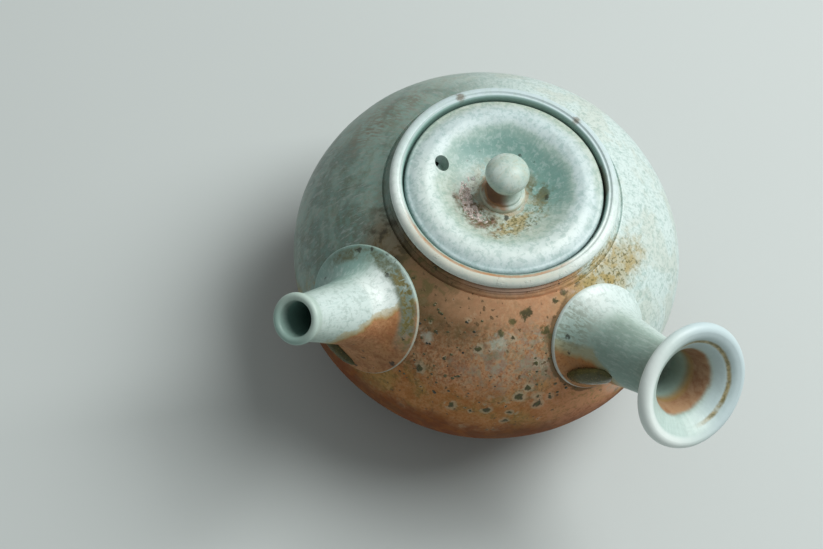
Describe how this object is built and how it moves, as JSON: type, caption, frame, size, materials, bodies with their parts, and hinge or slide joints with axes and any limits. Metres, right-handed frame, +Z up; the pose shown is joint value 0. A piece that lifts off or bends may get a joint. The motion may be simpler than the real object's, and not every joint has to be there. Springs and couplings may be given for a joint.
{
  "type": "side-handled teapot",
  "caption": "Rounded ceramic teapot with a hollow flared side handle, a short flared spout, an inner strainer dome and a dished, knobbed lid that lifts off.",
  "frame": {"origin": "centre of the foot's flat underside, on the pot's turning axis", "axes": "+Z up along the pot's turning axis; the spout points along -X; the handle stands out near -Y, 86.8 degrees round from the spout"},
  "size_m": [0.1096, 0.1186, 0.0802],
  "materials": {
    "body_ash_glaze": "wood-fired stoneware: pale blue-green ash glaze over bare salmon-brown clay with dark specks",
    "spout_ash_glaze": "pale mint ash glaze on top, bare salmon clay below, olive specks at the flange",
    "handle_ash_glaze": "pale blue-green ash glaze, salmon flange underneath, olive line in the bell",
    "bare_clay": "unglazed iron-flecked clay",
    "lid_ash_glaze": "pale blue-green ash glaze with olive-brown flecks round the knob",
    "knob_ash_glaze": "pale grey-green ash glaze, brown in the waist"
  },
  "bodies": {
    "pot": {"pot_body": "body_ash_glaze", "spout": "spout_ash_glaze", "handle": "handle_ash_glaze", "strainer": "bare_clay"},
    "lid_body": {"lid": "lid_ash_glaze", "lid_knob": "knob_ash_glaze"}
  },
  "joints": [
    {"name": "lid_lift", "type": "slide", "parent": "pot", "child": "lid_body", "axis": [0, 0, 1], "range_m": [0, 0.035]}
  ]
}
